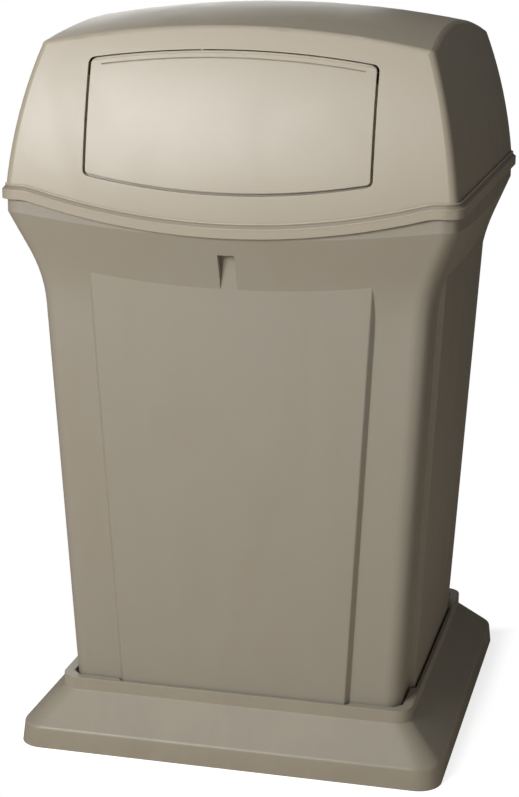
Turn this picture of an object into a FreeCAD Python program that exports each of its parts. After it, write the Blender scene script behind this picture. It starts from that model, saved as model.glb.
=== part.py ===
import FreeCAD, Part
import math
import os

from FreeCAD import Vector

# Square litter container of moulded structural foam: a plinth, a tapered body with raised panels and a
# flared top, and a hinged hood with a sprung push door at the front and another at the rear.
# Millimetres, +Z up, front towards -Y, origin on the floor under the middle of the container.

# Walls and fits
wall = 5.0                      # foam wall of the plinth, body, hood and doors
rest_gap = 0.4                  # between the hood's lip and the body's rim
running_clearance = 0.05        # radial, pins and rods in turning holes
fixed_clearance = 0.03          # radial, pins, rods and screws in holes that hold them
side_play = 0.4                 # along a hinge axis, between neighbouring knuckles
least_round = 2.0               # smallest rounding of an inside corner

# Plinth
base_set_in = 1.5               # its foot is this much narrower, each side, than the body's top band
base_corner = 35.0
base_wall_height = 30.0
base_wall_draft = 3.0
base_edge_round = 7.0           # rounded edge between the upright wall and the slope
deck_top = 52.0                 # the body stands on this deck
deck_thick = 6.0
base_lip_cover = 40.5           # the upstanding lip covers the foot of the body this far above the deck
base_lip_height = 18.5          # from the top of the slope to the top of the lip
base_lip_corner = 24.0
body_clearance = 3.0            # open joint round the body, inside the lip

# Body
body_foot_half = 239.0          # half width between the raised panels, at the deck
body_taper = 0.053              # widening of each side per unit of height
body_corner = 23.0
inside_corner_cut = 12.0        # inside corners are cut off by this much along each side
shaft_height = 570.0            # from the deck to where the front begins to flare
flare_height = 136.3            # from there to the lowest point of the rim line
flare_blend = 78.0              # height over which the flare picks up its slope
flare_slope = 0.347
side_flare_rise = 13.0          # the sides flare this much higher than the front
corner_flare_rise = 25.0
flare_sections = 8
flare_inside_rise = 17.0        # the flat inside of the flare starts this much higher than the front
flare_inside_cut = 30.0         # corner cut of that inside
band_height = 1.74              # upright band under the lowest point of the rim line
panel_proud = 8.5
panel_margin = 72.0             # from the body's side to the foot of the panel's edge
panel_edge_run = 6.0            # sideways run of the panel's sloping edge
panel_edge_round = 3.0
panel_run_in = 120.0            # how far a panel runs on inside the flare
bead_width = 11.0               # stiffening bead round the rim
bead_depth = 12.0
locating_lip_height = 8.0       # straight lips inside the rim, which centre the hood
locating_lip_thick = 3.5
locating_lip_end = 56.0         # from the rim's corner to the end of a lip
pocket_width = 23.0             # recess under the lip, at the middle of the front
pocket_drop = 25.3              # from the rim line to the recess's ceiling
pocket_wall = 4.0

# Rim line between the body and the hood, sagging at the front and the rear
lip_overhang = 6.5              # the hood's lip stands this far out from the body's band
rim_corner = 27.0
rim_rise = 38.7                 # from the middle of the front up to the level runs
rim_level_run = 30.8            # level part at each end of the front
rim_shoulder_radius = 60.0
lip_height = 12.5
ledge_rise = 6.0

# Hood
hood_set_in = 5.2               # from the lip's outside in to the foot of the hood's face
hood_foot_rise = 17.7           # height of that foot above the rim line's lowest point
hood_face_height = 233.3        # from the foot to the brow
hood_face_lean = 46.0           # how far the brow lies further in than the foot
hood_face_radius = 809.0
hood_round = 12.0               # round of the hood's corners and of its edge under the roof
round_meeting = 10.0            # degrees, at which a round meets the faces beside it
roof_rise = 44.7                # from the brow up to the crown
roof_radius = 1480.0
inner_cut = 12.0                # inside corners of the hood are cut off by this much across the corner

# Doors
opening_margin = 67.8           # from the side of the brow to the side of the opening
brow_margin = 7.7               # from the brow down to the opening's top
sill_height = 55.7              # from the rim line's lowest point up to the opening's bottom
opening_top_radius = 1300.0
opening_bottom_radius = 1000.0
opening_corner = 9.0
door_gap = 3.5                  # open joint round a door
door_rim_width = 7.0
door_flange_thick = 4.0
door_flange_reach = 9.0         # overlap of the flange past the opening's edge
door_stop_gap = 2.4             # between the flange and the inside of the hood
buffer_length = 14.0            # rubber pads on the flange, which meet the hood when a door shuts
buffer_height = 6.0
buffer_inset = 57.0             # from the side of the opening to the middle of a pad
buffer_gap = 0.3                # on both faces of a pad
roll_height = 6.5               # hinge roll along a door's top edge
roll_groove = 1.3
roll_groove_depth = 1.6

# Door rods, their bosses and push nuts
rod_radius = 3.0
rod_drop = 25.6                 # from the opening's top down to the rod's axis
rod_setback = 14.0              # from the hood's face to the rod's axis
knuckle_radius = 6.5
door_knuckle_width = 14.0
door_knuckle_inset = 47.0       # from the side of the opening to the middle of a door's knuckle
rod_boss_gap = 4.0              # from the side of the opening to the boss
rod_boss_width = 11.0
rod_overhang = 4.0              # past the push nut at each end
nut_half = 6.0                  # square push nuts
nut_thick = 1.2

# Torsion springs
wire_radius = 0.8
wire_sides = 6
coil_radius = 4.6
coil_turns = 2
coil_pitch = 2.3
coil_stand_off = 9.0            # from a door's knuckle to the coil
spring_seat_gap = 0.5
door_leg_drop = 26.0
hood_leg_rise = 24.0

# Hood hinges
hinge_drop = 23.3               # from the rim line's lowest point down to the hinge axis
hinge_barrel_radius = 7.0
hinge_place = 110.0
hood_knuckle_width = 23.0
body_knuckle_width = 9.0
hinge_pin_radius = 3.0
pin_head_radius = 5.5
pin_head_thick = 2.5
strap_gap = 0.7                 # between the hood's hinge strap and the body's band

# Screws that hold the body on the plinth, driven up through the deck into blind bosses in the body's floor
screw_inset = 49.0              # from the side of the body's foot to a screw
screw_radius = 4.0
screw_hole_clearance = 0.4
screw_head_radius = 7.5         # across the corners of the hexagon
screw_head_sides = 6
screw_head_height = 4.5
screw_bite = 16.0               # length above the deck
screw_tip_gap = 0.5
screw_boss_radius = 10.0
washer_half = 11.0              # square plate washers
washer_thick = 1.6

# Aids to drawing
match = 0.01                    # points this near each other count as one
overrun = 1.2                   # sweeps of cutting shapes are longer than the cut by this factor
settling_rounds = 12


def taper_half(z):
    """Half width between the raised panels at a height."""
    return body_foot_half + body_taper * (z - deck_top)


def flare_half(z, rise):
    """Half width at a height, where the flare starts by the rise above its start at the front."""
    climb = z - flare_start - rise
    if climb <= 0:
        return taper_half(z)
    if climb < flare_blend:
        return taper_half(z) + flare_slope * climb ** 2 / (2 * flare_blend)
    return taper_half(z) + flare_slope * (climb - flare_blend / 2)


# Sizes worked out from the ones above: heights
deck_underside = deck_top - deck_thick
floor_top = deck_top + wall
base_lip_top = deck_top + base_lip_cover
slope_top = base_lip_top - base_lip_height
flare_start = deck_top + shaft_height
rim_low = flare_start + flare_height
rim_high = rim_low + rim_rise
panel_top = flare_start + panel_run_in
pocket_top = rim_low - pocket_drop
hinge_z = rim_low - hinge_drop
ledge_top = lip_height + ledge_rise
flare_top = rim_high + ledge_top
hood_foot_z = rim_low + hood_foot_rise
hood_brow_z = hood_foot_z + hood_face_height
crown_z = hood_brow_z + roof_rise
opening_top = hood_brow_z - brow_margin
opening_bottom = rim_low + sill_height
rod_z = opening_top - rod_drop

# Sizes worked out from the ones above: widths
band_half = flare_half(rim_low - band_height, 0.0)
base_half = band_half - base_set_in
base_lip_half = taper_half(base_lip_top) + panel_proud + body_clearance + wall
rim_half = band_half + lip_overhang
rim_level_half = rim_half - rim_level_run
rim_sag_radius = (rim_level_half ** 2 + rim_rise ** 2) / (2 * rim_rise) - rim_shoulder_radius
hood_foot_half = rim_half - hood_set_in
hood_brow_half = hood_foot_half - hood_face_lean
opening_half = hood_brow_half - opening_margin
flange_inset = wall + door_stop_gap
buffer_place = opening_half - buffer_inset
door_knuckle_place = opening_half - door_knuckle_inset
rod_boss_inner = opening_half + rod_boss_gap
coil_start = door_knuckle_place + door_knuckle_width / 2 + coil_stand_off
hinge_y = rim_half - hinge_barrel_radius
screw_place = body_foot_half - screw_inset
far = 2.0 * rim_half            # reach of the cutting solids, well past the container
up = Vector(0, 0, 1)
across = Vector(1, 0, 0)


def outline(z, corner_half, front_half, side_half, corner, rounded=True):
    """Closed outline at a height: four sides, bowed where the middle stands proud, round or cut corners."""
    straight = corner_half - corner
    diagonal = straight + corner * math.sqrt(0.5)
    edges = []
    for quarter in range(4):
        turn = FreeCAD.Rotation(up, 90.0 * quarter)
        middle = side_half if quarter % 2 else front_half
        start = turn.multVec(Vector(-straight, -corner_half, z))
        end = turn.multVec(Vector(straight, -corner_half, z))
        crown = turn.multVec(Vector(0, -middle, z))
        corner_mid = turn.multVec(Vector(diagonal, -diagonal, z))
        corner_end = turn.multVec(Vector(corner_half, -straight, z))
        bowed = middle - corner_half > match
        side = Part.Arc(start, crown, end) if bowed else Part.LineSegment(start, end)
        bend = Part.Arc(end, corner_mid, corner_end) if rounded else Part.LineSegment(end, corner_end)
        edges += [side.toShape(), bend.toShape()]
    return Part.Wire(edges)


def square(z, half, corner):
    return outline(z, half, half, half, corner)


def frustum(low, high):
    """Flat-sided solid between two like polygons, one above the other."""
    faces = [Part.Face(Part.makePolygon(ring + ring[:1])) for ring in (low, high)]
    for a, b, c, d in zip(low, low[1:] + low[:1], high[1:] + high[:1], high):
        faces.append(Part.Face(Part.makePolygon([a, b, c, d, a])))
    return Part.Solid(Part.Shell(faces))


def octagon(z, half, cut):
    """Corners of a square outline whose own corners are cut off."""
    ring = []
    for quarter in range(4):
        turn = FreeCAD.Rotation(up, 90.0 * quarter)
        ring.append(turn.multVec(Vector(cut - half, -half, z)))
        ring.append(turn.multVec(Vector(half - cut, -half, z)))
    return ring


def polygon_bar(centre, way, radius, sides, length):
    """Straight bar of regular section from the centre along way."""
    first = way.cross(up) if abs(way.z) < 0.9 else way.cross(across)
    first = first.normalize() * radius
    points = [centre + FreeCAD.Rotation(way, 360.0 * side / sides).multVec(first) for side in range(sides)]
    return Part.Face(Part.makePolygon(points + points[:1])).extrude(way * length)


def prism(half, corner, bottom, top):
    """Upright block of square plan with round corners."""
    return Part.Face(square(bottom, half, corner)).extrude(Vector(0, 0, top - bottom))


def block(x_low, x_high, y_low, y_high, z_low, z_high):
    return Part.makeBox(x_high - x_low, y_high - y_low, z_high - z_low, Vector(x_low, y_low, z_low))


def rod(radius, x_low, x_high, y, z):
    return Part.makeCylinder(radius, x_high - x_low, Vector(x_low, y, z), across)


def turned(shape, degrees):
    copy = shape.copy()
    copy.rotate(Vector(0, 0, 0), up, degrees)
    return copy


def mirrored(shape):
    """The same piece on the other side of the middle plane X = 0."""
    return shape.mirror(Vector(0, 0, 0), across)


def fused(shapes):
    return shapes[0].multiFuse(shapes[1:]).removeSplitter()


def edges_where(shape, test):
    return [edge for edge in shape.Edges if test(edge)]


# The rim line: a wide sagging arc, a soft shoulder at each end, and level runs to the corners

def rim_shoulder():
    """Where the level run starts, and where the shoulder meets the sagging arc, as (x, z) pairs."""
    centre_z = rim_low + rim_sag_radius
    shoulder_z = rim_high - rim_shoulder_radius
    share = rim_sag_radius / (rim_sag_radius + rim_shoulder_radius)
    meet = (rim_level_half * share, centre_z - (centre_z - shoulder_z) * share)
    return (rim_level_half, rim_high), meet


def rim_band(low, high):
    """Everything between two copies of the rim line, shifted up by low and by high."""
    (level_x, level_z), (meet_x, meet_z) = rim_shoulder()
    shoulder_z = level_z - rim_shoulder_radius
    middle_x = (level_x + meet_x) / 2
    middle_z = shoulder_z + math.sqrt(rim_shoulder_radius ** 2 - (level_x - middle_x) ** 2)

    def line_at(shift):
        def point(x, z):
            return Vector(x, -far, z + shift)
        left = Part.Arc(point(-level_x, level_z), point(-middle_x, middle_z), point(-meet_x, meet_z))
        sag = Part.Arc(point(-meet_x, meet_z), point(0, rim_low), point(meet_x, meet_z))
        right = Part.Arc(point(meet_x, meet_z), point(middle_x, middle_z), point(level_x, level_z))
        ends = (point(-far, level_z), point(far, level_z))
        runs = [Part.LineSegment(ends[0], point(-level_x, level_z)), left, sag, right,
                Part.LineSegment(point(level_x, level_z), ends[1])]
        return [run.toShape() for run in runs], ends

    lower, lower_ends = line_at(low)
    upper, upper_ends = line_at(high)
    sides = [Part.LineSegment(a, b).toShape() for a, b in zip(lower_ends, upper_ends)]
    wire = Part.Wire(Part.sortEdges(lower + upper + sides)[0])
    return Part.Face(wire).extrude(Vector(0, 2 * far, 0))


# The body's outside, or the same form drawn in by an inset

def body_panel(inset, bottom, rounded):
    """Raised panel of the front, from the foot of the body up into the flare."""
    rings = []
    for z in (bottom, panel_top):
        half = taper_half(z)
        root = half - panel_margin - inset
        face = root - panel_edge_run
        inner = -half + inset + 2 * wall
        outer = -half - panel_proud + inset
        rings.append([Vector(-root, inner, z), Vector(root, inner, z), Vector(root, -half + inset, z),
                      Vector(face, outer, z), Vector(-face, outer, z), Vector(-root, -half + inset, z)])
    panel = frustum(*rings)
    if not rounded:
        return panel
    face_edges = [(low, high) for low, high in zip(*rings)][3:5]
    return panel.makeFillet(panel_edge_round, edges_where(panel, lambda edge: joins_any(edge, face_edges)))


def joins_any(edge, pairs):
    """Whether a straight edge runs between the two points of one of the pairs."""
    ends = [vertex.Point for vertex in edge.Vertexes]
    return any(min((a - end).Length for end in ends) + min((b - end).Length for end in ends) < match
               for a, b in pairs)


def body_shaft(inset, bottom, top, rounded):
    """Tapered lower body with its four raised panels."""
    if rounded:
        rings = [square(z, taper_half(z) - inset, body_corner - inset) for z in (bottom, top)]
        shaft = Part.makeLoft(rings, True, True)
    else:
        shaft = frustum(*[octagon(z, taper_half(z) - inset, inside_corner_cut) for z in (bottom, top)])
    panel = body_panel(inset, bottom, rounded)
    return fused([shaft] + [turned(panel, 90.0 * quarter) for quarter in range(4)])


def body_outside():
    """Outside of the body: shaft, panels, and a flare that starts later towards the corners."""
    rings = []
    for step in range(flare_sections + 1):
        z = flare_start + (flare_top - flare_start) * step / flare_sections
        halves = [flare_half(z, rise) for rise in (corner_flare_rise, 0.0, side_flare_rise)]
        rings.append(outline(z, *halves, body_corner))
    flare = Part.makeLoft(rings, True, False)
    band = prism(band_half, body_corner, deck_top, flare_top)
    return fused([body_shaft(0.0, deck_top, flare_start, True), flare]).common(band)


def body_inside():
    """Inside of the body: flat-sided, so that the wall grows thicker towards the rim."""
    start = flare_start + flare_inside_rise
    levels = (floor_top, start, start + flare_blend / 2, start + flare_blend, flare_top)
    cuts = (inside_corner_cut, inside_corner_cut) + 3 * (flare_inside_cut,)
    rings = [octagon(z, flare_half(z, flare_inside_rise) - wall, cut) for z, cut in zip(levels, cuts)]
    band = prism(band_half - wall, body_corner - wall, floor_top, flare_top)
    stages = [frustum(low, high) for low, high in zip(rings, rings[1:])]
    panel = body_panel(wall, floor_top, False)
    return fused(stages + [turned(panel, 90.0 * quarter) for quarter in range(4)]).common(band)


# The hood's outside, or the same form drawn in by an inset

def hood_arc_centre():
    """Centre of the hood's face arc, as its distance from the middle plane and its height."""
    run = hood_brow_half - hood_foot_half
    rise = hood_brow_z - hood_foot_z
    chord = math.hypot(run, rise)
    drop = math.sqrt(hood_face_radius ** 2 - chord ** 2 / 4)
    return ((hood_foot_half + hood_brow_half) / 2 - drop * rise / chord,
            (hood_foot_z + hood_brow_z) / 2 + drop * run / chord)


def hood_half(z, inset=0.0):
    centre_half, centre_z = hood_arc_centre()
    return centre_half + math.sqrt((hood_face_radius - inset) ** 2 - (z - centre_z) ** 2)


def roof_dome(inset):
    """Everything under the domed roof: an arch along X swung about a level axis far below."""
    radius = roof_radius - inset
    centre = Vector(0, 0, crown_z - roof_radius)
    half = rim_half
    eaves = centre.z + math.sqrt(radius ** 2 - half ** 2)
    foot = rim_low - 4 * ledge_top
    corners = [Vector(half, 0, eaves), Vector(half, 0, foot), Vector(-half, 0, foot), Vector(-half, 0, eaves)]
    arch = Part.Arc(corners[3], Vector(0, 0, centre.z + radius), corners[0]).toShape()
    runs = [Part.LineSegment(a, b).toShape() for a, b in zip(corners, corners[1:])]
    face = Part.Face(Part.Wire([arch] + runs))
    swing = overrun * math.degrees(math.atan2(half, foot - centre.z))
    face.rotate(centre, across, -swing)
    return face.revolve(centre, across, 2 * swing)


def face_tunnel(inset):
    """Solid right across the hood whose front and rear are the curved faces, drawn in by the inset."""
    bottom = rim_low - ledge_top
    top = crown_z + ledge_top
    levels = (bottom, (bottom + top) / 2, top)
    front = [Vector(-far, -hood_half(z, inset), z) for z in levels]
    rear = [Vector(-far, -point.y, point.z) for point in front]
    edges = [Part.Arc(*front), Part.LineSegment(front[2], rear[2]),
             Part.Arc(*reversed(rear)), Part.LineSegment(rear[0], front[0])]
    return Part.Face(Part.Wire([edge.toShape() for edge in edges])).extrude(across * (2 * far))


def hood_block(inset):
    tunnel = face_tunnel(inset)
    return tunnel.common(turned(tunnel, 90.0)).common(roof_dome(inset))


def hood_inside(inset):
    """Inside of the hood: the same faces and roof, with the upright corners cut off."""
    reach = hood_foot_half * math.sqrt(2.0) - inset * math.sqrt(2.0) - inner_cut
    lean = (hood_foot_half - hood_brow_half) * math.sqrt(2.0) / (hood_brow_z - hood_foot_z)
    rings = []
    for z in (rim_low - ledge_top, crown_z):
        half = reach - lean * (z - hood_foot_z)
        corners = ((-half, -half), (half, -half), (half, half), (-half, half))
        rings.append([Vector(x, y, z) for x, y in corners])
    return hood_block(inset).common(turned(frustum(*rings), 45.0))


def dome_height(x, y, inset):
    return crown_z - roof_radius + math.sqrt((roof_radius - inset) ** 2 - x * x - y * y)


def under_dome(place):
    """Height at which a point of the drawn-in faces reaches the drawn-in dome; a few rounds settle it."""
    z = hood_brow_z
    for _ in range(settling_rounds):
        point = place(z)
        z = dome_height(point.x, point.y, hood_round)
    return place(z)


def front_normal(z):
    centre_half, centre_z = hood_arc_centre()
    return Vector(0, centre_half - hood_half(z, hood_round), z - centre_z).normalize()


def dome_normal(point):
    return (point - Vector(0, 0, crown_z - roof_radius)).normalize()


def edge_trim(spine, normals):
    """What a round takes off an edge: everything outside a tube along the spine, between the two faces."""
    arc = Part.Arc(*spine).toShape()
    hub = arc.Curve.Center
    axle = arc.Curve.Axis
    centre = spine[1]
    along = axle.cross(centre - hub).normalize()
    first, second = [(normal - along * normal.dot(along)).normalize() for normal in normals]
    tube = hood_round / math.cos(math.radians(round_meeting))
    reach = 4 * hood_round
    points = [centre, centre + first * reach, centre + (first + second) * reach, centre + second * reach]
    disc = Part.Face(Part.Wire(Part.Circle(centre, along, tube).toShape()))
    section = Part.Face(Part.makePolygon(points + points[:1])).cut(disc)
    sweep = overrun * math.degrees(arc.LastParameter - arc.FirstParameter)
    section.rotate(hub, axle, -sweep / 2)
    return section.revolve(hub, axle, sweep)


def top_corner_trim(centre, normals):
    """What the round takes off where an upright corner meets the roof: everything outside a ball."""
    reach = 6 * hood_round
    tips = [centre + normal * reach for normal in normals]
    faces = [Part.Face(Part.makePolygon(list(ring) + [ring[0]])) for ring in
             (tips, (centre, tips[0], tips[1]), (centre, tips[1], tips[2]), (centre, tips[2], tips[0]))]
    ball = Part.makeSphere(hood_round / math.cos(math.radians(round_meeting)) ** 2, centre)
    return Part.Solid(Part.Shell(faces)).cut(ball)


def hood_form():
    """Outside of the hood, with its corners and the edge under the roof rounded."""
    def corner_at(z):
        return Vector(hood_half(z, hood_round), -hood_half(z, hood_round), z)

    def brow_at(x):
        return under_dome(lambda z: Vector(x, -hood_half(z, hood_round), z))

    top = under_dome(corner_at)
    quarter_turn = FreeCAD.Rotation(up, 90.0)
    middle_z = (rim_low + top.z) / 2
    corner_normals = [front_normal(middle_z), quarter_turn.multVec(front_normal(middle_z))]
    upright = edge_trim([corner_at(z) for z in (rim_low, middle_z, top.z)], corner_normals)
    crown = brow_at(0.0)
    brow = edge_trim([brow_at(-top.x), crown, brow_at(top.x)], [front_normal(crown.z), dome_normal(crown)])
    top_normals = [front_normal(top.z), quarter_turn.multVec(front_normal(top.z)), dome_normal(top)]
    trims = []
    for trim in (upright, brow, top_corner_trim(top, top_normals)):
        trims += [turned(trim, 90.0 * quarter) for quarter in range(4)]
    form = hood_block(0.0)
    for trim in trims:
        form = form.cut(trim)
    return form


# Plinth

def base_form():
    """Skirt of the plinth: upright wall, rounded edge, slope and upstanding lip."""
    wall_half = base_half - base_wall_draft
    foot = Part.makeLoft([square(0, base_half, base_corner),
                          square(base_wall_height, wall_half, base_corner)], True, True)
    slope = Part.makeLoft([square(base_wall_height, wall_half, base_corner),
                           square(slope_top, base_lip_half, base_lip_corner)], True, True)
    lip = prism(base_lip_half, base_lip_corner, slope_top, base_lip_top)
    skirt = fused([foot, slope, lip])
    ring = edges_where(skirt, lambda edge: abs(edge.BoundBox.ZMin - base_wall_height)
                       + edge.BoundBox.ZLength < match)
    return skirt.makeFillet(base_edge_round, ring)


def base_hollow():
    """Space under the skirt and outside the well that the body stands in."""
    level = base_wall_height - wall / 2
    wall_half = base_half - base_wall_draft - wall
    rings = [octagon(0, base_half - wall, base_corner), octagon(level, wall_half, base_corner),
             octagon(slope_top - wall, base_lip_half - wall, base_lip_corner)]
    hollow = fused([frustum(rings[0], rings[1]), frustum(rings[1], rings[2])])
    well = body_shaft(-body_clearance - wall, deck_underside, slope_top, False)
    return hollow.cut(well)


def screw_places():
    return [Vector(x, y, 0) for x in (-screw_place, screw_place) for y in (-screw_place, screw_place)]


def make_base_plinth():
    well = body_shaft(-body_clearance, deck_top, base_lip_top, False)
    plinth = base_form().cut(base_hollow()).cut(well)
    for place in screw_places():
        hole = Part.makeCylinder(screw_radius + screw_hole_clearance, deck_thick, place + up * deck_underside)
        plinth = plinth.cut(hole)
    return plinth


# Body

def pocket_void():
    """Wedge in front of the panel's plane, closed at the top by a flat ceiling."""
    points = []
    for z in (flare_start, pocket_top):
        points.append(Vector(-pocket_width / 2, -taper_half(z) - panel_proud, z))
    points.append(Vector(-pocket_width / 2, -far, pocket_top))
    points.append(Vector(-pocket_width / 2, -far, flare_start))
    return Part.Face(Part.makePolygon(points + points[:1])).extrude(Vector(pocket_width, 0, 0))


def pocket_housing():
    half = pocket_width / 2 + pocket_wall
    points = []
    for z in (flare_start + flare_blend / 2, pocket_top + pocket_wall):
        points.append(Vector(-half, -taper_half(z) - panel_proud + pocket_wall, z))
    points.append(Vector(-half, -far, pocket_top + pocket_wall))
    points.append(Vector(-half, -far, flare_start + flare_blend / 2))
    return Part.Face(Part.makePolygon(points + points[:1])).extrude(Vector(2 * half, 0, 0))


def hinge_stations(width, offset):
    """Left and right ends along X of the knuckles that lie at an offset from each hinge's middle."""
    middles = [side * hinge_place + offset for side in (-1, 1)]
    return [(middle - width / 2, middle + width / 2) for middle in middles]


def body_knuckles():
    offset = hood_knuckle_width / 2 + side_play + body_knuckle_width / 2
    knuckles = []
    for shift in (-offset, offset):
        for x_low, x_high in hinge_stations(body_knuckle_width, shift):
            barrel = rod(hinge_barrel_radius, x_low, x_high, hinge_y, hinge_z)
            web = block(x_low, x_high, hinge_y - 4 * wall, hinge_y,
                        hinge_z - hinge_barrel_radius, hinge_z + hinge_barrel_radius)
            knuckles.append(barrel.fuse(web))
    return knuckles


def make_body_shell():
    below_rim = rim_band(-crown_z, -rest_gap)
    form = body_outside()
    bead = form.common(rim_band(-bead_depth, -rest_gap))
    bead_inner = band_half - bead_width
    bead = bead.cut(prism(bead_inner, body_corner - bead_width, deck_top, flare_top))
    lip_half = band_half - locating_lip_end
    lip = block(-lip_half, lip_half, -bead_inner - locating_lip_thick, -bead_inner, flare_start, flare_top)
    upper_band = rim_band(-bead_depth, locating_lip_height)
    locating = [turned(lip, degrees).common(upper_band) for degrees in (-90.0, 0.0, 90.0)]
    pocket_fill = form.common(pocket_housing())
    shell = fused([form.common(below_rim)] + body_knuckles()).cut(body_inside())
    hole_depth = screw_bite + screw_tip_gap
    bosses = [Part.makeCylinder(screw_boss_radius, hole_depth + wall, place + up * deck_top)
              for place in screw_places()]
    shell = fused([shell, bead, pocket_fill] + locating + bosses)
    shell = shell.cut(pocket_void())
    for place in screw_places():
        hole = Part.makeCylinder(screw_radius + fixed_clearance, hole_depth, place + up * deck_top)
        shell = shell.cut(hole)
    for x_low, x_high in hinge_stations(far / 4, 0.0):
        shell = shell.cut(rod(hinge_pin_radius + fixed_clearance, x_low, x_high, hinge_y, hinge_z))
    return shell


# Hood

def door_block(grow):
    """Solid across the whole hood with a door opening's outline, widened all round by grow."""
    half = opening_half + grow
    top_centre = opening_top - opening_top_radius
    bottom_centre = opening_bottom + opening_bottom_radius
    top_side = top_centre + math.sqrt((opening_top_radius + grow) ** 2 - half ** 2)
    bottom_side = bottom_centre - math.sqrt((opening_bottom_radius + grow) ** 2 - half ** 2)
    corners = [Vector(-half, -far, bottom_side), Vector(half, -far, bottom_side),
               Vector(half, -far, top_side), Vector(-half, -far, top_side)]
    bottom = Part.Arc(corners[0], Vector(0, -far, opening_bottom - grow), corners[1])
    top = Part.Arc(corners[2], Vector(0, -far, opening_top + grow), corners[3])
    right = Part.LineSegment(corners[1], corners[2])
    left = Part.LineSegment(corners[3], corners[0])
    wire = Part.Wire([edge.toShape() for edge in (bottom, right, top, left)])
    solid = Part.Face(wire).extrude(Vector(0, far, 0))
    long_edges = edges_where(solid, lambda edge: edge.BoundBox.YLength > far / 2)
    return solid.makeFillet(max(opening_corner + grow, least_round), long_edges)


rod_y = rod_setback - hood_half(rod_z)


def rod_lug(radius, x_low, x_high, backing):
    """Barrel on a door rod's axis with a web out to the backing form."""
    barrel = rod(radius, x_low, x_high, rod_y, rod_z)
    web = block(x_low, x_high, rod_y - 3 * rod_setback, rod_y, rod_z - radius, rod_z + radius)
    return barrel.fuse(web.common(backing))


def make_hood_shell():
    inside = hood_inside(wall)
    shell = hood_form().common(rim_band(0.0, far))
    lip = prism(rim_half, rim_corner, deck_top, far * 2).common(rim_band(0.0, ledge_top))
    top_edges = edges_where(lip, is_lip_top_edge)
    lip = lip.makeChamfer(ledge_rise, top_edges)
    straps = []
    for x_low, x_high in hinge_stations(hood_knuckle_width, 0.0):
        strap = block(x_low, x_high, band_half + strap_gap, rim_half, hinge_z, rim_high)
        strap = strap.common(rim_band(-far, lip_height / 2))
        straps.append(strap.fuse(rod(hinge_barrel_radius, x_low, x_high, hinge_y, hinge_z)))
    shell = fused([shell, lip]).cut(inside)
    opening = door_block(0.0)
    shell = shell.cut(opening).cut(turned(opening, 180.0))
    overlapping = face_tunnel(wall / 2)
    lugs = []
    for side in (-1, 1):
        ends = sorted((side * rod_boss_inner, side * (rod_boss_inner + rod_boss_width)))
        lug = rod_lug(knuckle_radius, ends[0], ends[1], overlapping)
        lugs.append(lug)
        lugs.append(turned(lug, 180.0))
    shell = fused([shell] + straps + lugs)
    reach = rod_boss_inner + rod_boss_width
    bore = rod(rod_radius + fixed_clearance, -reach, reach, rod_y, rod_z)
    shell = shell.cut(bore).cut(turned(bore, 180.0))
    for x_low, x_high in hinge_stations(hood_knuckle_width, 0.0):
        shell = shell.cut(rod(hinge_pin_radius + running_clearance, x_low, x_high, hinge_y, hinge_z))
    return shell


def is_lip_top_edge(edge):
    """Outer top edges of the hood's lip: all along it, ledge_top above the rim line's own height."""
    middle = edge.valueAt((edge.FirstParameter + edge.LastParameter) / 2)
    outer = max(abs(middle.x), abs(middle.y)) > rim_half - rim_corner / 2
    meet_x = rim_shoulder()[1][0]
    line_z = rim_high
    if abs(middle.x) < meet_x:
        line_z = rim_low + rim_sag_radius - math.sqrt(rim_sag_radius ** 2 - middle.x ** 2)
    return outer and middle.z > line_z + lip_height


# Doors

def make_front_door():
    outside = face_tunnel(0.0)
    panel = outside.cut(face_tunnel(wall)).common(door_block(-door_gap))
    rim_ring = door_block(-door_gap).cut(door_block(-door_gap - door_rim_width))
    behind = face_tunnel(flange_inset + door_flange_thick)
    below_rod = block(-far, far, -far, 0, 0, rod_z - 2 * knuckle_radius)
    rim = outside.cut(behind).common(rim_ring).common(below_rod)
    flange = face_tunnel(flange_inset).cut(behind)
    flange_ring = door_block(door_flange_reach).cut(door_block(-door_gap - door_rim_width))
    flange = flange.common(flange_ring).common(below_rod)
    groove_high = door_block(-door_gap - roll_height)
    groove_low = door_block(-door_gap - roll_height - roll_groove)
    groove = groove_high.cut(groove_low).cut(face_tunnel(roll_groove_depth))
    groove = groove.common(block(-opening_half + 2 * opening_corner, opening_half - 2 * opening_corner,
                                 -far, 0, rod_z, crown_z))
    backing = face_tunnel(wall / 2)
    half = door_knuckle_width / 2
    lugs = [rod_lug(knuckle_radius, middle - half, middle + half, backing)
            for middle in (-door_knuckle_place, door_knuckle_place)]
    door = fused([panel, rim, flange] + lugs).cut(groove)
    return door.cut(rod(rod_radius + running_clearance, -opening_half, opening_half, rod_y, rod_z))


def make_front_buffers():
    """Two pads between the inside of the hood and a door's bottom flange."""
    layer = face_tunnel(wall + buffer_gap).cut(face_tunnel(flange_inset - buffer_gap))
    centre_z = opening_bottom + opening_bottom_radius
    z = centre_z - math.sqrt(opening_bottom_radius ** 2 - buffer_place ** 2) - door_flange_reach / 2
    low, high = z - buffer_height / 2, z + buffer_height / 2
    pads = [block(x - buffer_length / 2, x + buffer_length / 2, -far, 0, low, high)
            for x in (-buffer_place, buffer_place)]
    return Part.Compound([pad.common(layer) for pad in pads])


def push_nut(start, radius, y, z):
    """Square plate pushed on a rod or pin of the radius, with its left face at start."""
    plate = block(start, start + nut_thick, y - nut_half, y + nut_half, z - nut_half, z + nut_half)
    return plate.cut(rod(radius + fixed_clearance, start, start + nut_thick, y, z))


def make_front_rod():
    reach = rod_boss_inner + rod_boss_width + nut_thick + rod_overhang
    return rod(rod_radius, -reach, reach, rod_y, rod_z)


def make_front_nuts():
    nut = push_nut(rod_boss_inner + rod_boss_width, rod_radius, rod_y, rod_z)
    return Part.Compound([nut, mirrored(nut)])


# Torsion springs: a coil round the rod, one leg on the door's back and one on the hood above the opening

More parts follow.
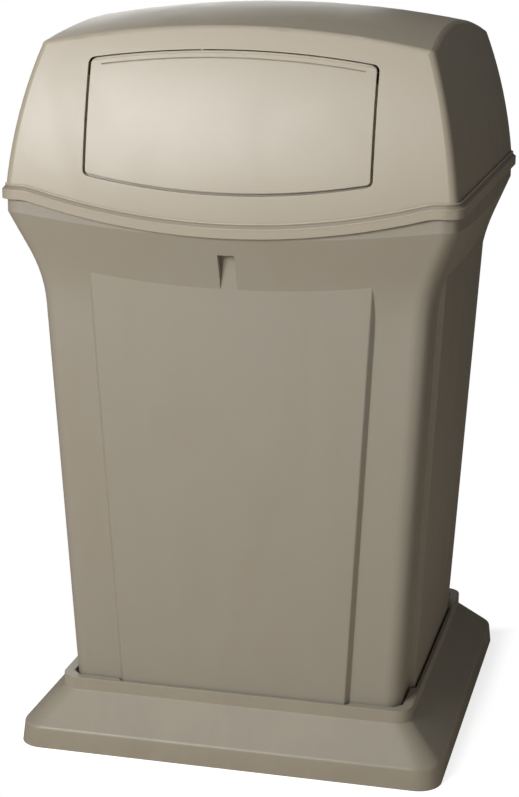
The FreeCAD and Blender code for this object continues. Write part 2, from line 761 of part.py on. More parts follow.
def arc_pair(start, start_way, end, end_way):
    """Two arcs that join two points and keep the directions at both."""
    chord = end - start
    sum_way = start_way + end_way
    a = 2.0 - 2.0 * start_way.dot(end_way)
    b = 2.0 * chord.dot(sum_way)
    reach = (-b + math.sqrt(b * b + 4.0 * a * chord.dot(chord))) / (2.0 * a)
    first = start + start_way * reach
    second = end - end_way * reach
    joint = (first + second) * 0.5
    return [arc_between(start, first, joint), arc_between(joint, second, end)]


def arc_between(start, corner, end):
    """Arc from start to end whose tangents at both ends meet at the corner."""
    half_chord = (end - start) * 0.5
    middle = start + half_chord
    rise = corner - middle
    half_turn = math.atan2(rise.Length, half_chord.Length)
    sagitta = half_chord.Length * math.tan(half_turn / 2)
    return Part.Arc(start, middle + rise * (sagitta / rise.Length), end).toShape()


def coil_point(angle):
    """Point on the coil and its direction there; angle 0 is on the side towards the container's middle."""
    advance = coil_pitch / (2 * math.pi)
    point = Vector(coil_start + advance * angle, rod_y + coil_radius * math.cos(angle),
                   rod_z - coil_radius * math.sin(angle))
    way = Vector(advance, -coil_radius * math.sin(angle), -coil_radius * math.cos(angle))
    return point, way.normalize()


def leg_angle(target_y, target_z, towards):
    """Angle on the coil where a straight leg to the target leaves it along the coil's direction."""
    dy = target_y - rod_y
    dz = rod_z - target_z
    bearing = math.atan2(dz, dy)
    return bearing - towards * math.acos(coil_radius / math.hypot(dy, dz))


def make_front_springs():
    hood_leg_z = rod_z + hood_leg_rise
    hood_leg_y = -hood_half(hood_leg_z, wall) + (wire_radius + spring_seat_gap)
    door_leg_z = rod_z - door_leg_drop
    door_leg_y = -hood_half(door_leg_z, wall) + (wire_radius + spring_seat_gap)
    first = leg_angle(hood_leg_y, hood_leg_z, -1.0)
    last = leg_angle(door_leg_y, door_leg_z, 1.0)
    while last < first + 2 * math.pi * (coil_turns - 0.5):
        last += 2 * math.pi
    halves = round((last - first) / math.pi)
    turns = [coil_point(first + (last - first) * step / halves) for step in range(halves + 1)]
    start, start_way = turns[0]
    end, end_way = turns[-1]
    hood_leg = math.hypot(hood_leg_y - start.y, hood_leg_z - start.z)
    door_leg = math.hypot(door_leg_y - end.y, door_leg_z - end.z)
    edges = [Part.LineSegment(start - start_way * hood_leg, start).toShape()]
    for (point, way), (next_point, next_way) in zip(turns, turns[1:]):
        edges += arc_pair(point, way, next_point, next_way)
    edges.append(Part.LineSegment(end, end + end_way * door_leg).toShape())
    path = Part.Wire(edges)
    leg_bar = polygon_bar(start - start_way * hood_leg, start_way, wire_radius, wire_sides, hood_leg)
    wire_end = leg_bar.Faces[-2]
    spring = path.makePipeShell([wire_end.OuterWire], True, False)
    print_coil_gap(turns)
    return Part.Compound([spring, mirrored(spring)])


def print_coil_gap(turns):
    """Least clear distance between neighbouring turns, measured on points a whole turn apart."""
    gaps = [(a[0] - b[0]).Length - 2 * wire_radius for a, b in zip(turns, turns[2:])]
    print("least gap between spring turns: %.2f mm" % min(gaps))


# Hinge pins and fasteners

def pin_ends():
    """Left end of the hinge, its right end and the end of the pin's head, along X from the hinge's middle."""
    half = hood_knuckle_width / 2 + side_play + body_knuckle_width
    return -half, half, half + pin_head_thick


def make_hinge_pin(side):
    nut_face, head_face, head_end = pin_ends()
    x = side * hinge_place
    tail = nut_face - 2 * nut_thick
    shank = rod(hinge_pin_radius, x + tail, x + head_face, hinge_y, hinge_z)
    head = rod(pin_head_radius, x + head_face, x + head_end, hinge_y, hinge_z)
    return shank.fuse(head).removeSplitter()


def make_hinge_nuts():
    nut_face = pin_ends()[0]
    starts = [side * hinge_place + nut_face - nut_thick for side in (-1, 1)]
    return Part.Compound([push_nut(start, hinge_pin_radius, hinge_y, hinge_z) for start in starts])


def make_base_screws():
    seat = deck_underside - washer_thick
    screws = []
    for place in screw_places():
        shank = Part.makeCylinder(screw_radius, deck_top + screw_bite - seat, place + up * seat)
        head_foot = place + up * (seat - screw_head_height)
        head = polygon_bar(head_foot, up, screw_head_radius, screw_head_sides, screw_head_height)
        screws.append(shank.fuse(head).removeSplitter())
    return Part.Compound(screws)


def make_base_washers():
    washers = []
    for place in screw_places():
        bottom = deck_underside - washer_thick
        plate = block(place.x - washer_half, place.x + washer_half,
                      place.y - washer_half, place.y + washer_half, bottom, deck_underside)
        bore = Part.makeCylinder(screw_radius + screw_hole_clearance, washer_thick, place + up * bottom)
        washers.append(plate.cut(bore))
    return Part.Compound(washers)


# Nodes: the front door's pieces are made once, and the rear door's are the same turned half round

nodes = {
    "base_plinth": make_base_plinth(),
    "body_shell": make_body_shell(),
    "base_screws": make_base_screws(),
    "base_washers": make_base_washers(),
    "hood_shell": make_hood_shell(),
    "hinge_pin_left": make_hinge_pin(-1),
    "hinge_pin_right": make_hinge_pin(1),
    "hinge_pin_nuts": make_hinge_nuts(),
}
door_pieces = {
    "door": make_front_door(),
    "door_rod": make_front_rod(),
    "rod_nuts": make_front_nuts(),
    "door_buffers": make_front_buffers(),
    "door_springs": make_front_springs(),
}
for piece, shape in door_pieces.items():
    nodes["front_" + piece] = shape
    nodes["rear_" + piece] = turned(shape, 180.0)

os.makedirs("parts", exist_ok=True)
for name, shape in nodes.items():
    shape.exportStep(os.path.join("parts", name + ".step"))
    print(name, len(shape.Solids), "solids", round(shape.Volume / 1000.0, 1), "cm3", shape.isValid())
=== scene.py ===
import math

import bpy
from mathutils import Matrix, Vector


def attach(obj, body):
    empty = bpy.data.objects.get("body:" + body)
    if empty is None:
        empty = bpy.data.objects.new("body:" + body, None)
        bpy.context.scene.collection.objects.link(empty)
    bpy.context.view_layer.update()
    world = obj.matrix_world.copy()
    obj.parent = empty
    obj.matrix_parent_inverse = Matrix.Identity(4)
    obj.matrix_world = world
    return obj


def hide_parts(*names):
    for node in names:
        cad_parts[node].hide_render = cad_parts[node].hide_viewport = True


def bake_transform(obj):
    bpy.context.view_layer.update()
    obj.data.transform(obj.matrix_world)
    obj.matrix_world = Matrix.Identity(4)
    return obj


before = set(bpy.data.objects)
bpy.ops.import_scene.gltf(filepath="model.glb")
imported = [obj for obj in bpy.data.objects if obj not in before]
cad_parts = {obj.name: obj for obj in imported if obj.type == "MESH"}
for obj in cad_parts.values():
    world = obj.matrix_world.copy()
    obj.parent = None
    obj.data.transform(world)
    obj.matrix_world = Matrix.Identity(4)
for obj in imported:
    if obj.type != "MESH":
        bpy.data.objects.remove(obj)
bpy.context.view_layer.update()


# Plinth
# The square foot that the container stands on, moulded in structural foam polyethylene: an upright wall,
# a slope and an upstanding lip round the body. It comes out of one mould with a fine etched grain.

MM_PER_M = 1000.0
PLINTH_SHADED_BEIGE = "A8A08F"         # the moulded colour, darkened as painted shade for the less lit foot
PLINTH_ROUGHNESS = 0.42
PLINTH_DUST_TOP_MM = 60.0       # floor dust fades out at this height
SWIRL_DARK = "A39B8C"           # the faint flow swirls of foamed plastic
SWIRL_MM = 130.0
SWIRL_SQUASH = (1.0, 1.0, 0.35)     # the plastic flowed upwards, which draws the swirls out
SWIRL_RANGE = (0.38, 0.72)
GRAIN_MM = 2.6                  # the etched grain is nearer 1 mm, drawn coarser so that it shows
GRAIN_DEPTH_MM = 0.6
GRAIN_STRENGTH = 0.16
EDGE_MM = 1.4                   # moulded edges are rounded by about this much
DUST_AND_LEDGE_SHADE = "8C8270"            # dust that splashes up along the floor, and the painted shade in the hood's ledge
FOOT_DUST_SHARE = 0.42
DUST_BLOTCH_MM = 38.0
# Share of the dust colour laid on the hood's ledge as painted shade
LEDGE_SHADE_SHARE = 0.75
LEDGE_FACING = (0.35, 0.6)      # how far a face looks up where the ledge's painted shade starts, and where it is full
SHINE_SPREAD = (-0.06, 0.08)    # what the swirls take from the roughness and add to it
PLASTIC_IOR = 1.5
PLASTIC_SHEEN = 0.65


def linear(hex_colour):
    """sRGB hex colour as linear RGBA."""
    channels = [int(hex_colour[i:i + 2], 16) / 255.0 for i in (0, 2, 4)]
    bent = [c / 12.92 if c <= 0.04045 else ((c + 0.055) / 1.055) ** 2.4 for c in channels]
    return (*bent, 1.0)


def add(tree, kind, values=None, links=None, **settings):
    """Adds a node: settings are its own options, values go on its sockets, links bring in other sockets."""
    made = tree.nodes.new(kind)
    for option, value in settings.items():
        setattr(made, option, value)
    for socket, value in (values or {}).items():
        made.inputs[socket].default_value = value
    for socket, source in (links or {}).items():
        tree.links.new(source, made.inputs[socket])
    return made


def blank_material(name):
    """A new material without nodes, and its node tree."""
    material = bpy.data.materials.new(name)
    material.use_nodes = True
    material.node_tree.nodes.clear()
    return material, material.node_tree


def dress(node, material):
    """Gives a carried-over piece its material."""
    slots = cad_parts[node].data.materials
    slots.clear()
    slots.append(material)


def foam_plastic(name, colour, swirl, dust_top_mm, roughness, ledge_top_mm=0.0):
    """Structural foam polyethylene, moulded: satin, faintly swirled and finely grained, dusty below dust_top,
    with painted shade on faces that look up below ledge_top."""
    material, tree = blank_material(name)
    place = add(tree, "ShaderNodeTexCoord")
    flow = add(tree, "ShaderNodeMapping", {"Scale": SWIRL_SQUASH}, {"Vector": place.outputs["Object"]})
    swirls = add(tree, "ShaderNodeTexNoise",
                 {"Scale": MM_PER_M / SWIRL_MM, "Detail": 5.0, "Roughness": 0.55, "Distortion": 1.6},
                 {"Vector": flow.outputs["Vector"]})
    swirl_share = add(tree, "ShaderNodeMapRange", {"From Min": SWIRL_RANGE[0], "From Max": SWIRL_RANGE[1]},
                      {"Value": swirls.outputs["Fac"]})
    tone = add(tree, "ShaderNodeMix", {"A": linear(colour), "B": linear(swirl)},
               {"Factor": swirl_share.outputs["Result"]}, data_type="RGBA")
    heights = add(tree, "ShaderNodeSeparateXYZ", links={"Vector": place.outputs["Object"]})
    dust_fall = add(tree, "ShaderNodeMapRange",
                    {"From Min": 0.0, "From Max": dust_top_mm / MM_PER_M, "To Min": FOOT_DUST_SHARE,
                     "To Max": 0.0},
                    {"Value": heights.outputs["Z"]}, interpolation_type="SMOOTHSTEP")
    blotches = add(tree, "ShaderNodeTexNoise", {"Scale": MM_PER_M / DUST_BLOTCH_MM, "Detail": 4.0},
                   {"Vector": place.outputs["Object"]})
    dust_share = add(tree, "ShaderNodeMath",
                     links={0: dust_fall.outputs["Result"], 1: blotches.outputs["Fac"]}, operation="MULTIPLY")
    dusty = add(tree, "ShaderNodeMix", {"B": linear(DUST_AND_LEDGE_SHADE)},
                {"Factor": dust_share.outputs["Value"], "A": tone.outputs["Result"]}, data_type="RGBA")
    # Painted shade: faces that look up below ledge_top take the dust colour, as the shade in the hood's lip
    # ledge
    facing = add(tree, "ShaderNodeSeparateXYZ", links={"Vector": place.outputs["Normal"]})
    level = add(tree, "ShaderNodeMapRange", {"From Min": LEDGE_FACING[0], "From Max": LEDGE_FACING[1]},
                {"Value": facing.outputs["Z"]})
    low_down = add(tree, "ShaderNodeMath", {1: ledge_top_mm / MM_PER_M}, {0: heights.outputs["Z"]},
                   operation="LESS_THAN")
    ledge_share = add(tree, "ShaderNodeMath",
                      links={0: level.outputs["Result"], 1: low_down.outputs["Value"]}, operation="MULTIPLY")
    ledge_shade_share = add(tree, "ShaderNodeMath", {1: LEDGE_SHADE_SHARE}, {0: ledge_share.outputs["Value"]},
                        operation="MULTIPLY")
    ledge_shaded = add(tree, "ShaderNodeMix", {"B": linear(DUST_AND_LEDGE_SHADE)},
                  {"Factor": ledge_shade_share.outputs["Value"], "A": dusty.outputs["Result"]}, data_type="RGBA")
    grain = add(tree, "ShaderNodeTexNoise", {"Scale": MM_PER_M / GRAIN_MM, "Detail": 2.0, "Roughness": 0.6},
                {"Vector": place.outputs["Object"]})
    edges = add(tree, "ShaderNodeBevel", {"Radius": EDGE_MM / MM_PER_M}, samples=6)
    relief = add(tree, "ShaderNodeBump", {"Strength": GRAIN_STRENGTH, "Distance": GRAIN_DEPTH_MM / MM_PER_M},
                 {"Height": grain.outputs["Fac"], "Normal": edges.outputs["Normal"]})
    shine = add(tree, "ShaderNodeMapRange",
                {"To Min": roughness + SHINE_SPREAD[0], "To Max": roughness + SHINE_SPREAD[1]},
                {"Value": swirls.outputs["Fac"]})
    shader = add(tree, "ShaderNodeBsdfPrincipled", {"IOR": PLASTIC_IOR, "Specular IOR Level": PLASTIC_SHEEN},
                 {"Base Color": ledge_shaded.outputs["Result"], "Roughness": shine.outputs["Result"],
                  "Normal": relief.outputs["Normal"]})
    add(tree, "ShaderNodeOutputMaterial", links={"Surface": shader.outputs["BSDF"]})
    return material


plinth_plastic = foam_plastic("moulded_foam_plinth", PLINTH_SHADED_BEIGE, SWIRL_DARK, PLINTH_DUST_TOP_MM,
                              PLINTH_ROUGHNESS)
dress("base_plinth", plinth_plastic)


# Body
# The tapered shell that holds the bag, foam plastic like the plinth. A raised panel stiffens each side, and
# the top flares out to an upright band that carries the hood.

# Darker than the hood's beige: painted shade for the lower, less lit part of the container
BODY_SHADED_BEIGE = "A59E91"
BODY_ROUGHNESS = 0.42
BODY_DUST_TOP_MM = 170.0
body_plastic = foam_plastic("moulded_foam_body", BODY_SHADED_BEIGE, SWIRL_DARK, BODY_DUST_TOP_MM, BODY_ROUGHNESS)
dress("body_shell", body_plastic)


# Base screws and washers
# Four hexagon screws with square plate washers, driven up through the plinth's deck into the body's floor.
# Both are zinc plated steel: a pale, slightly blotchy metal.

ZINC = "B7BABC"
ZINC_DULL = "9A9DA0"
ZINC_SPANGLE_MM = 6.0
ZINC_ROUGHNESS = 0.34
METAL_SHINE_SPREAD = (-0.08, 0.12)


def blotchy_steel(name, bright, dull, spangle_mm, roughness):
    """Steel, as plated or drawn: metal with soft blotches in its tone and shine."""
    material, tree = blank_material(name)
    place = add(tree, "ShaderNodeTexCoord")
    blotches = add(tree, "ShaderNodeTexNoise", {"Scale": MM_PER_M / spangle_mm, "Detail": 4.0},
                   {"Vector": place.outputs["Object"]})
    tone = add(tree, "ShaderNodeMix", {"A": linear(dull), "B": linear(bright)},
               {"Factor": blotches.outputs["Fac"]}, data_type="RGBA")
    shine = add(tree, "ShaderNodeMapRange",
                {"To Min": roughness + METAL_SHINE_SPREAD[0], "To Max": roughness + METAL_SHINE_SPREAD[1]},
                {"Value": blotches.outputs["Fac"]})
    shader = add(tree, "ShaderNodeBsdfPrincipled", {"Metallic": 1.0},
                 {"Base Color": tone.outputs["Result"], "Roughness": shine.outputs["Result"]})
    add(tree, "ShaderNodeOutputMaterial", links={"Surface": shader.outputs["BSDF"]})
    return material


zinc_steel = blotchy_steel("zinc_plated_steel", ZINC, ZINC_DULL, ZINC_SPANGLE_MM, ZINC_ROUGHNESS)
for fastener in ("base_screws", "base_washers"):
    dress(fastener, zinc_steel)


# Hood
# The domed cover, foam plastic moulded in one piece with its sagging lip and its hinge straps. No floor dust
# reaches it, and it is a little paler than the body and the plinth, whose colours are darkened as painted
# shade.
# Two thin beads run round the lip, and the ledge between them is painted darker as shade.

HOOD_BEIGE = "B3A997"
HOOD_SWIRL = "B1A795"
HOOD_ROUGHNESS = 0.38
HOOD_DUST_TOP_MM = 1.0          # no floor dust reaches the hood
RIM_HALF = 316.0                # half width of the lip, in mm like the next ones
RIM_CORNER = 27.0
RIM_LOW = 758.3                 # the lip's underside at the middle of the front, and at the corners
RIM_HIGH = 797.0
RIM_LEVEL_RUN = 30.8            # level length at each end of the sag
RIM_SHOULDER = 60.0             # radius between the sag and a level end
LEDGE_TOP = 18.5                # top of the lip's ledge, which is painted darker as shade, over its underside
LEDGE_MARGIN = 6.0
SAG_STEPS = 48
CORNER_STEPS = 8
BEAD_SIDES = 8
# The beads along the lip: how far in from its outside, how high over its underside, and the radius
LIP_BEADS = {"hood_foot_bead": (5.7, 18.9, 1.8), "hood_lip_bead": (1.0, 12.2, 1.35)}


def rim_height(x):
    """Height of the lip's underside along the front: a sag between two round shoulders and level ends."""
    rise = RIM_HIGH - RIM_LOW
    level_x = RIM_HALF - RIM_LEVEL_RUN
    sag = (level_x ** 2 + rise ** 2) / (2 * rise) - RIM_SHOULDER
    if abs(x) >= level_x:
        return RIM_HIGH
    if abs(x) > level_x * sag / (sag + RIM_SHOULDER):
        return RIM_HIGH - RIM_SHOULDER + math.sqrt(RIM_SHOULDER ** 2 - (level_x - abs(x)) ** 2)
    return RIM_LOW + sag - math.sqrt(sag ** 2 - x ** 2)


def rim_path():
    """Points round the lip's outside, each with the direction in which the lip faces there."""
    straight = RIM_HALF - RIM_CORNER
    path = []
    for quarter, steps in enumerate((SAG_STEPS, 1, SAG_STEPS, 1)):
        turn = math.radians(90.0 * quarter)
        for step in range(steps):
            along = straight * (2 * step / steps - 1)
            path.append((along, -RIM_HALF, turn, 0.0))
        for step in range(CORNER_STEPS):
            bend = math.radians(90.0 * step / CORNER_STEPS)
            across, forward = RIM_CORNER * math.sin(bend), RIM_CORNER * math.cos(bend)
            path.append((straight + across, -straight - forward, turn, bend))
    points = []
    for x, y, turn, bend in path:
        at = Vector((x * math.cos(turn) - y * math.sin(turn), x * math.sin(turn) + y * math.cos(turn)))
        points.append((at, Vector((math.sin(turn + bend), -math.cos(turn + bend)))))
    return points


def smooth_mesh(name, points_mm, faces):
    """A smooth mesh in metres from points in mm."""
    mesh = bpy.data.meshes.new(name)
    mesh.from_pydata([[length / MM_PER_M for length in point] for point in points_mm], [], faces)
    mesh.shade_smooth()
    return mesh


def put(name, mesh, material):
    """A mesh with its material, placed in the scene as it is."""
    mesh.materials.append(material)
    piece = bpy.data.objects.new(name, mesh)
    bpy.context.scene.collection.objects.link(piece)
    return piece


def bead_mesh(name, inset, rise, radius):
    """A closed round bead along the lip."""
    turns = [2 * math.pi * count / BEAD_SIDES for count in range(BEAD_SIDES)]
    points = []
    for at, facing in rim_path():
        foot = at - facing * inset
        height = rim_height(at.x) + rise if abs(facing.y) > abs(facing.x) else RIM_HIGH + rise
        for turn in turns:
            out = foot + facing * radius * math.cos(turn)
            points.append((out.x, out.y, height + radius * math.sin(turn)))
    rings = len(points) // BEAD_SIDES
    faces = []
    for ring in range(rings):
        low, high = ring * BEAD_SIDES, (ring + 1) % rings * BEAD_SIDES
        for count in range(BEAD_SIDES):
            after = (count + 1) % BEAD_SIDES
            faces.append((low + count, high + count, high + after, low + after))
    return smooth_mesh(name, points, faces)


# Below this height the hood's upward-looking ledge is painted darker as shade
ledge_height = RIM_HIGH + LEDGE_TOP + LEDGE_MARGIN
hood_plastic = foam_plastic("moulded_foam_hood", HOOD_BEIGE, HOOD_SWIRL, HOOD_DUST_TOP_MM, HOOD_ROUGHNESS,
                            ledge_height)
dress("hood_shell", hood_plastic)
bead_plastic = foam_plastic("moulded_foam_bead", HOOD_BEIGE, HOOD_SWIRL, HOOD_DUST_TOP_MM, HOOD_ROUGHNESS)
for name, (inset, rise, radius) in LIP_BEADS.items():
    bead = put(name, bead_mesh(name, inset, rise, radius), bead_plastic)
    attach(bead, "hood")


# Hood hinges
# Two headed pins of zinc plated steel, on which the hood swings up. Each goes through the knuckles of the
# body and of a hood strap at the rear, and a square push nut keeps it in.

for piece in ("hinge_pin_left", "hinge_pin_right", "hinge_pin_nuts"):
    dress(piece, zinc_steel)


# Push doors
# A front door and a rear door, moulded in the same foam plastic, flush with the hood's curved face. A rounded
# roll runs along each door's top edge and closes the joint over its rod.

DOOR_ROUGHNESS = 0.36
FACE_RADIUS = 809.0             # of the hood's face, in mm like the next ones
FACE_FOOT = (310.8, 776.0)      # half width and height at the foot and the brow of that face
FACE_BROW = (264.8, 1009.3)
OPENING_TOP = 1001.6            # the opening's top edge at the middle
OPENING_TOP_RADIUS = 1300.0
ROLL_REACH = 193.0              # half length of a roll
ROLL_RADIUS = 2.4
ROLL_TIP = 0.05                 # share of that radius that is left at a roll's ends
ROLL_JOINT = 1.2                # open joint over the roll
ROLL_PROUD = 0.5
ROLL_STEPS = 60
ROLL_SIDES = 16


def face_half(height):
    """How far out the hood's face lies at a height."""
    run, rise = FACE_BROW[0] - FACE_FOOT[0], FACE_BROW[1] - FACE_FOOT[1]
    chord = math.hypot(run, rise)
    drop = math.sqrt(FACE_RADIUS ** 2 - chord ** 2 / 4)
    centre = (FACE_FOOT[0] + FACE_BROW[0]) / 2 - drop * rise / chord
    centre_height = (FACE_FOOT[1] + FACE_BROW[1]) / 2 + drop * run / chord
    return centre + math.sqrt(FACE_RADIUS ** 2 - (height - centre_height) ** 2)


def roll_mesh(name, side):
    """The roll of one door as a closed round bar; side is -1 for the front and 1 for the rear."""
    turns = [2 * math.pi * count / ROLL_SIDES for count in range(ROLL_SIDES)]
    points = []
    for step in range(ROLL_STEPS + 1):
        x = ROLL_REACH * (2 * step / ROLL_STEPS - 1)
        sag = OPENING_TOP_RADIUS - math.sqrt(OPENING_TOP_RADIUS ** 2 - x ** 2)
        height = OPENING_TOP - sag - ROLL_JOINT - ROLL_RADIUS
        out = face_half(height) + ROLL_PROUD - ROLL_RADIUS
        end_share = min(1.0, (ROLL_REACH - abs(x)) / ROLL_RADIUS)
        radius = ROLL_RADIUS * max(ROLL_TIP, math.sqrt(end_share * (2 - end_share)))
        for turn in turns:
            points.append((x, side * (out + radius * math.cos(turn)), height + radius * math.sin(turn)))
    faces = []
    for step in range(ROLL_STEPS):
        low, high = step * ROLL_SIDES, (step + 1) * ROLL_SIDES
        for count in range(ROLL_SIDES):
            after = (count + 1) % ROLL_SIDES
            faces.append((low + count, low + after, high + after, high + count)[::side])
    first = tuple(range(ROLL_SIDES))
    last = tuple(ROLL_STEPS * ROLL_SIDES + count for count in range(ROLL_SIDES))
    faces += [first[::-side], last[::side]]
    return smooth_mesh(name, points, faces)


door_plastic = foam_plastic("moulded_foam_door", HOOD_BEIGE, HOOD_SWIRL, HOOD_DUST_TOP_MM, DOOR_ROUGHNESS)
for side, way in (("front", -1), ("rear", 1)):
    dress(side + "_door", door_plastic)
    name = side + "_door_roll"
    roll = put(name, roll_mesh(name, way), door_plastic)
    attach(roll, side + "_door")


# Door rods and their push nuts
# A rod of zinc plated steel carries each door. It lies in bosses inside the hood, and a square push nut on
# each end keeps it there.

for side in ("front", "rear"):
    dress(side + "_door_rod", zinc_steel)
    dress(side + "_rod_nuts", zinc_steel)


# Door springs
# Torsion springs of drawn steel wire, wound round each rod, push the doors shut. One leg of each bears on the
# hood and the other on the door, so a coil winds up as its door swings.

WIRE_BRIGHT = "8C8D8E"
WIRE_DULL = "6B6C6E"
WIRE_BLOTCH_MM = 3.0
WIRE_ROUGHNESS = 0.3
spring_steel = blotchy_steel("drawn_spring_wire", WIRE_BRIGHT, WIRE_DULL, WIRE_BLOTCH_MM, WIRE_ROUGHNESS)


def one_hand(node, hand, name):
    """What lies left (-1) or right (1) of the middle in a carried-over piece, as a mesh of its own."""
    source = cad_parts[node].data
    kept = [vertex.index for vertex in source.vertices if vertex.co.x * hand > 0]
    place = {index: count for count, index in enumerate(kept)}
    near = [face.vertices for face in source.polygons if face.vertices[0] in place]
    faces = [[place[index] for index in corners] for corners in near]
    mesh = bpy.data.meshes.new(name)
    mesh.from_pydata([source.vertices[index].co for index in kept], [], faces)
    mesh.update()
    return mesh


for side in ("front", "rear"):
    for hand, word in ((-1, "left"), (1, "right")):
        name = side + "_door_spring_" + word
        coil = one_hand(side + "_door_springs", hand, name)
        spring = put(name, coil, spring_steel)
        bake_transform(spring)
        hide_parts(side + "_door_springs")


# Door buffers
# Two pads of black moulded rubber on each door's bottom flange. They soften the blow when the springs push
# the door shut.

RUBBER_BLACK = "1B1B1C"
RUBBER_WORN = "2C2B2A"
RUBBER_BLOOM_MM = 2.5
RUBBER_ROUGHNESS = 0.78
RUBBER_IOR = 1.52
rubber, rubber_tree = blank_material("moulded_rubber")
rubber_place = add(rubber_tree, "ShaderNodeTexCoord")
rubber_bloom = add(rubber_tree, "ShaderNodeTexNoise", {"Scale": MM_PER_M / RUBBER_BLOOM_MM, "Detail": 3.0},
                   {"Vector": rubber_place.outputs["Object"]})
rubber_tone = add(rubber_tree, "ShaderNodeMix", {"A": linear(RUBBER_BLACK), "B": linear(RUBBER_WORN)},
                  {"Factor": rubber_bloom.outputs["Fac"]}, data_type="RGBA")
rubber_shader = add(rubber_tree, "ShaderNodeBsdfPrincipled",
                    {"Roughness": RUBBER_ROUGHNESS, "IOR": RUBBER_IOR},
                    {"Base Color": rubber_tone.outputs["Result"]})
add(rubber_tree, "ShaderNodeOutputMaterial", links={"Surface": rubber_shader.outputs["BSDF"]})
for side in ("front", "rear"):
    dress(side + "_door_buffers", rubber)


# Floor
# A wide sweep of studio paper. The eye sees it white, with a narrow soft shadow round the foot, and the light
# that it throws back on the container is warmer and weaker.

WHITE = (1.0, 1.0, 1.0, 1.0)
PAPER_WHITE = "F0F0F0"
PAPER_BOUNCE = "D2C6B2"
PAPER_GLOW = 0.74
FLOOR_HALF = 14.0               # in m like the next ones
SHADOW_REACH = 0.35             # past this the sweep is plain white to the eye
SHADOW_FADE = 0.04


def seen_directly(tree):
    """1 where the camera looks at the thing itself or through clear matter, 0 for light thrown back."""
    rays = add(tree, "ShaderNodeLightPath")
    shown = add(tree, "ShaderNodeMath",
                links={0: rays.outputs["Is Camera Ray"], 1: rays.outputs["Is Transmission Ray"]},
                operation="MAXIMUM")
    return shown.outputs["Value"]


floor_mesh = bpy.data.meshes.new("studio_floor")
floor_mesh.from_pydata([(-FLOOR_HALF, -FLOOR_HALF, 0), (FLOOR_HALF, -FLOOR_HALF, 0),
                        (FLOOR_HALF, FLOOR_HALF, 0), (-FLOOR_HALF, FLOOR_HALF, 0)], [], [(0, 1, 2, 3)])
paper, paper_tree = blank_material("white_paper_floor")
paper_diffuse = add(paper_tree, "ShaderNodeBsdfDiffuse", {"Color": linear(PAPER_WHITE)})
paper_bounce = add(paper_tree, "ShaderNodeBsdfDiffuse", {"Color": linear(PAPER_BOUNCE)})
paper_glow = add(paper_tree, "ShaderNodeEmission", {"Color": WHITE, "Strength": PAPER_GLOW})
paper_near = add(paper_tree, "ShaderNodeAddShader",
                 links={0: paper_diffuse.outputs["BSDF"], 1: paper_glow.outputs["Emission"]})
paper_far = add(paper_tree, "ShaderNodeEmission", {"Color": WHITE, "Strength": 1.0})
paper_place = add(paper_tree, "ShaderNodeTexCoord")
paper_sides = add(paper_tree, "ShaderNodeVectorMath", links={0: paper_place.outputs["Object"]},
                  operation="ABSOLUTE")
paper_axes = add(paper_tree, "ShaderNodeSeparateXYZ", links={"Vector": paper_sides.outputs["Vector"]})
paper_reach = add(paper_tree, "ShaderNodeMath",
                  links={0: paper_axes.outputs["X"], 1: paper_axes.outputs["Y"]}, operation="MAXIMUM")
paper_fade = add(paper_tree, "ShaderNodeMapRange",
                 {"From Min": SHADOW_REACH - SHADOW_FADE, "From Max": SHADOW_REACH},
                 {"Value": paper_reach.outputs["Value"]}, interpolation_type="SMOOTHSTEP")
paper_sweep = add(paper_tree, "ShaderNodeMixShader",
                  links={0: paper_fade.outputs["Result"], 1: paper_near.outputs["Shader"],
                         2: paper_far.outputs["Emission"]})
paper_mix = add(paper_tree, "ShaderNodeMixShader",
                links={0: seen_directly(paper_tree), 1: paper_bounce.outputs["BSDF"],
                       2: paper_sweep.outputs["Shader"]})
add(paper_tree, "ShaderNodeOutputMaterial", links={"Surface": paper_mix.outputs["Shader"]})
put("studio_floor", floor_mesh, paper)


# Studio light
# A large softbox at the front left, a weaker one overhead, white cards at the back left and the right, and a
# dim room round them. The spread is a lamp's beam in degrees.

ROOM_LIGHT = 0.045
LAMPS = {
    "key_softbox": {"at": (-1.2, -2.85, 1.75), "aim": (0.0, 0.0, 0.85), "size": (1.5, 1.3),
                    "watts": 69.0, "spread": 180.0},
    "top_softbox": {"at": (-0.2, -0.9, 3.0), "aim": (0.0, 0.0, 0.9), "size": (1.8, 1.8),
                    "watts": 16.0, "spread": 180.0},
    "back_card": {"at": (-1.25, 3.0, 1.25), "aim": (0.0, 0.0, 1.0), "size": (1.8, 0.9),
                  "watts": 2.6, "spread": 60.0},
    "right_card": {"at": (2.2, -0.9, 0.45), "aim": (0.3, 0.0, 0.75), "size": (1.0, 1.0),
                   "watts": 1.0, "spread": 90.0},
}
for name, lamp in LAMPS.items():
    light = bpy.data.lights.new(name, "AREA")
    light.shape = "RECTANGLE"
    light.size, light.size_y = lamp["size"]
    light.energy = lamp["watts"]
    light.spread = math.radians(lamp["spread"])
    holder = bpy.data.objects.new(name, light)
    holder.location = lamp["at"]
    way = Vector(lamp["aim"]) - Vector(lamp["at"])
    holder.rotation_euler = way.to_track_quat("-Z", "Y").to_euler()
    holder.visible_camera = False
    bpy.context.scene.collection.objects.link(holder)

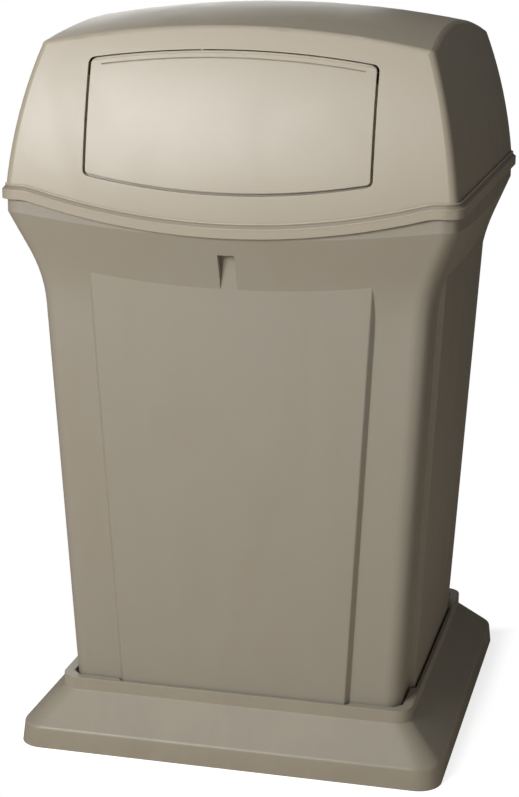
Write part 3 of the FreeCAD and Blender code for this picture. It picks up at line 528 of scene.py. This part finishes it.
room = bpy.data.worlds.new("studio_room")
room.use_nodes = True
room_tree = room.node_tree
room_tree.nodes.clear()
room_strength = add(room_tree, "ShaderNodeMapRange", {"To Min": ROOM_LIGHT, "To Max": 1.0},
                    {"Value": seen_directly(room_tree)})
room_glow = add(room_tree, "ShaderNodeBackground", {"Color": WHITE},
                {"Strength": room_strength.outputs["Result"]})
add(room_tree, "ShaderNodeOutputWorld", links={"Surface": room_glow.outputs["Background"]})
bpy.context.scene.world = room


# Camera
# A long lens a little above the hood and to the right of the front, rolled by less than a degree. It stands
# at DISTANCE from the point that it looks at, both in m.

AZIMUTH = math.radians(13.321)
ELEVATION = math.radians(13.124)
ROLL = math.radians(0.668)
DISTANCE = 2.80498
LOOK_AT = Vector((0.0, 0.0, 0.527))
FRAME_PIXELS = (519, 797)
FOCAL_PIXELS = 1864.631
CENTRE_PIXELS = (276.448, 357.658)      # where the lens axis meets the picture
SENSOR_MM = 36.0
lens = bpy.data.cameras.new("camera")
lens.sensor_width = SENSOR_MM
lens.lens = FOCAL_PIXELS / max(FRAME_PIXELS) * SENSOR_MM
lens.shift_x = (FRAME_PIXELS[0] / 2 - CENTRE_PIXELS[0]) / max(FRAME_PIXELS)
lens.shift_y = (CENTRE_PIXELS[1] - FRAME_PIXELS[1] / 2) / max(FRAME_PIXELS)
right = Vector((math.cos(AZIMUTH), math.sin(AZIMUTH), 0.0))
back = Vector((math.sin(AZIMUTH) * math.cos(ELEVATION), -math.cos(AZIMUTH) * math.cos(ELEVATION),
               math.sin(ELEVATION)))
above = back.cross(right)
turned_right = math.cos(ROLL) * right + math.sin(ROLL) * above
turned_above = math.cos(ROLL) * above - math.sin(ROLL) * right
camera = bpy.data.objects.new("camera", lens)
axes = Matrix((turned_right, turned_above, back)).transposed().to_4x4()
camera.matrix_world = Matrix.Translation(LOOK_AT + back * DISTANCE) @ axes
bpy.context.scene.collection.objects.link(camera)
bpy.context.scene.camera = camera
bpy.context.scene.view_settings.view_transform = "Standard"
